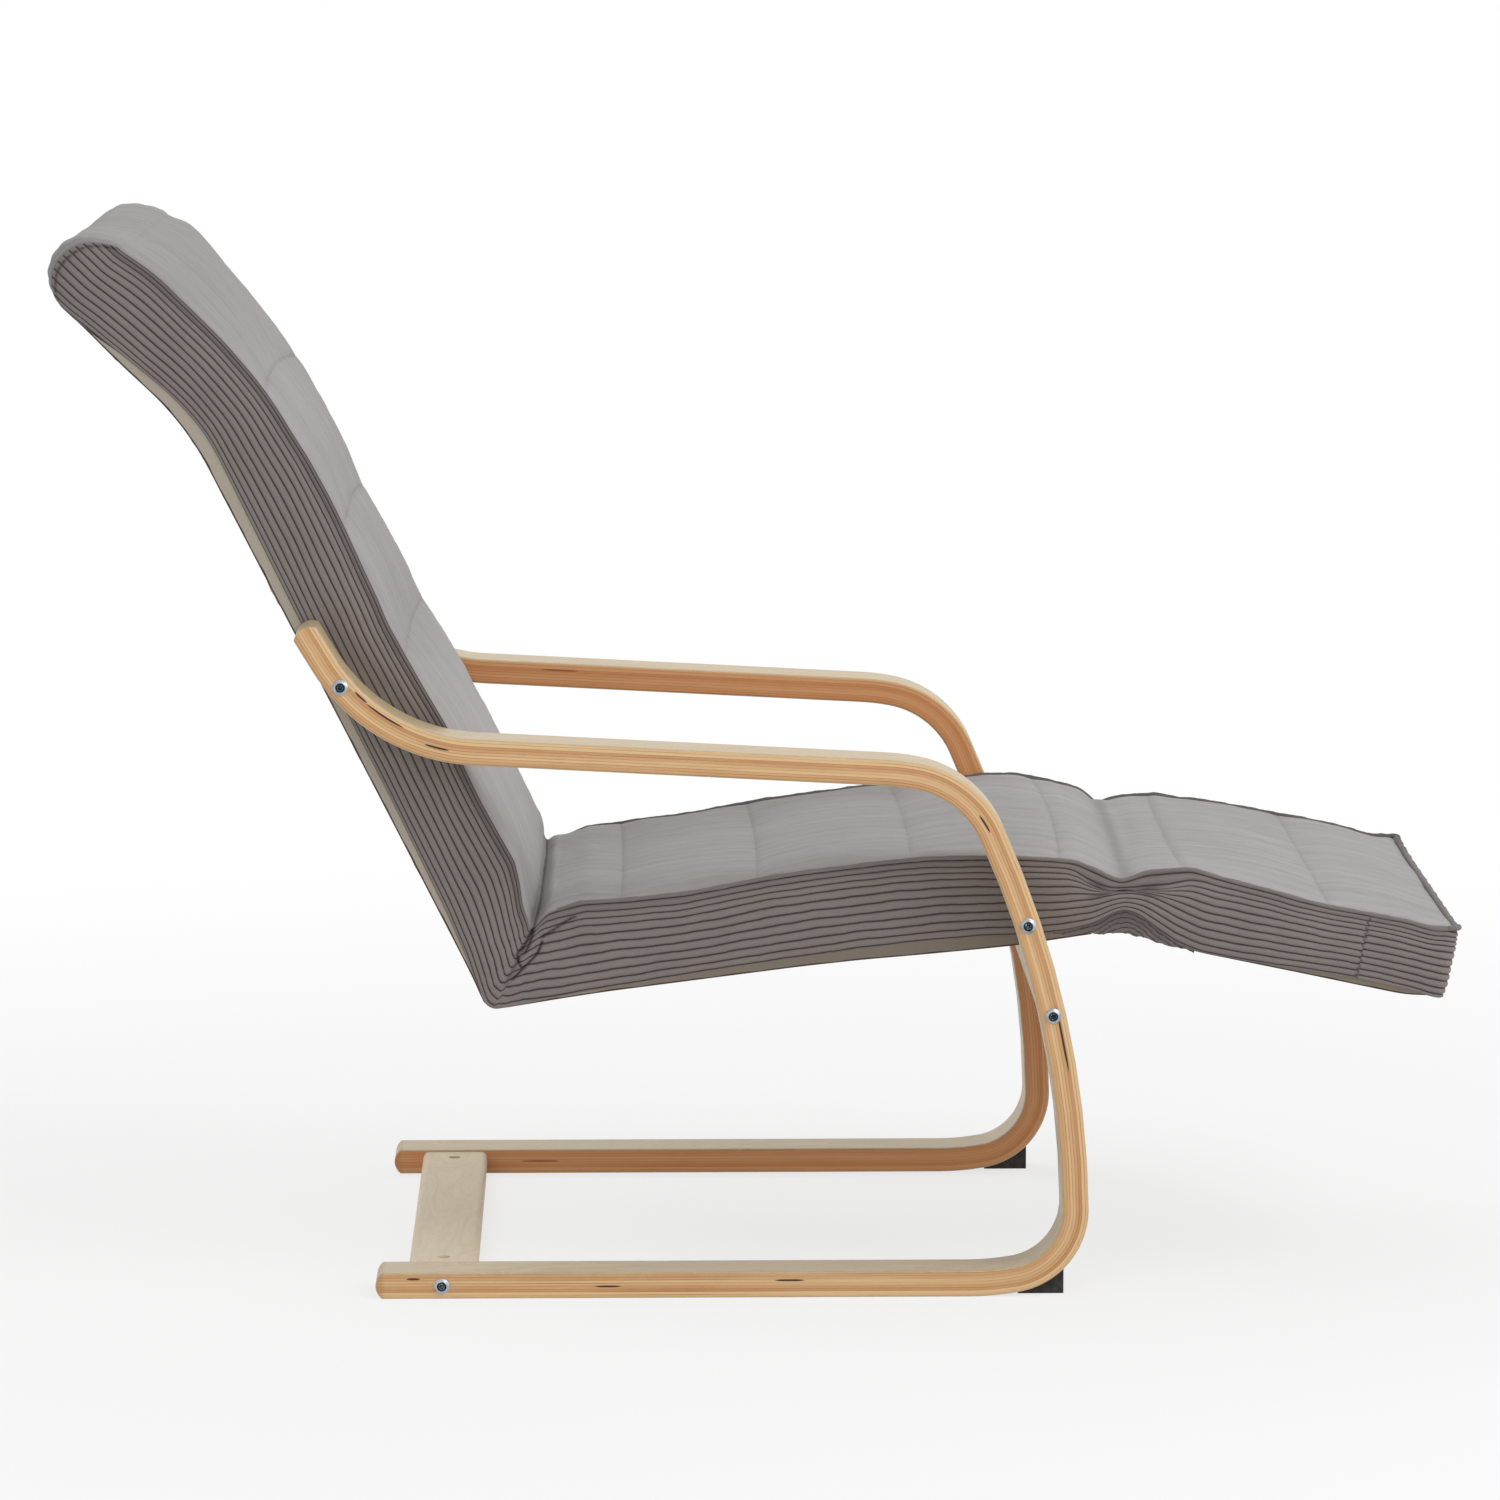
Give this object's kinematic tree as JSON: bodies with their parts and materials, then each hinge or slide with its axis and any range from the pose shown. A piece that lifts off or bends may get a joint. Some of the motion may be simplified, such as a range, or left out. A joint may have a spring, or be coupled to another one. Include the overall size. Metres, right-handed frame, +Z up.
{
  "type": "relax chair with footrest",
  "caption": "Cantilever relax chair on bent laminated side frames, with a long ribbed seat and back cushion and a footrest that folds down on notched hinges.",
  "frame": {"origin": "middle of the chair's plan outline, on the floor", "axes": "+X to the sitter's left, -Y the way the sitter faces, +Z up"},
  "size_m": [0.6774, 1.334, 1.0091],
  "materials": {
    "frame_laminate": "satin lacquer",
    "board_veneer": "satin lacquer",
    "inner_timber": "bare",
    "foot_black": "matte",
    "webbing": "woven",
    "ribbed_fabric": "wide-rib corduroy",
    "lining_cloth": "plain weave",
    "zinc_steel": "bright zinc",
    "hinge_steel": "zinc plated",
    "spring_steel": "blued"
  },
  "bodies": {
    "chair": {"left_side_frame": "frame_laminate", "right_side_frame": "frame_laminate", "rear_base_board": "board_veneer", "leg_cross_board": "board_veneer", "left_front_foot": "foot_black", "right_front_foot": "foot_black", "left_frame_rail": "inner_timber", "right_frame_rail": "inner_timber", "head_crossbar": "inner_timber", "lumbar_crossbar": "inner_timber", "seat_rear_crossbar": "inner_timber", "seat_front_crossbar": "inner_timber", "back_webbing": "webbing", "seat_webbing": "webbing", "back_cushion": "ribbed_fabric", "seat_cushion": "ribbed_fabric", "frame_lining": "lining_cloth", "frame_bolts": "zinc_steel", "board_bolts": "zinc_steel", "barrel_nuts": "zinc_steel", "tee_nuts": "zinc_steel", "crossbar_screws": "zinc_steel", "left_hinge_plate": "hinge_steel", "right_hinge_plate": "hinge_steel", "hinge_pivots": "zinc_steel", "left_detent_spring": "spring_steel", "right_detent_spring": "spring_steel", "hinge_plate_screws": "zinc_steel"},
    "footrest": {"left_footrest_rail": "inner_timber", "right_footrest_rail": "inner_timber", "footrest_rear_crossbar": "inner_timber", "footrest_end_crossbar": "inner_timber", "footrest_webbing": "webbing", "footrest_cushion": "ribbed_fabric", "footrest_lining": "lining_cloth", "left_footrest_arm": "hinge_steel", "right_footrest_arm": "hinge_steel", "footrest_arm_screws": "zinc_steel", "footrest_crossbar_screws": "zinc_steel"}
  },
  "joints": [
    {"name": "footrest_hinge", "type": "hinge", "parent": "chair", "child": "footrest", "pos_m": [0, -0.35677, 0.37074], "axis": [1, 0, 0], "range_deg": [0, 66], "deforming": ["left_detent_spring", "right_detent_spring"]}
  ]
}
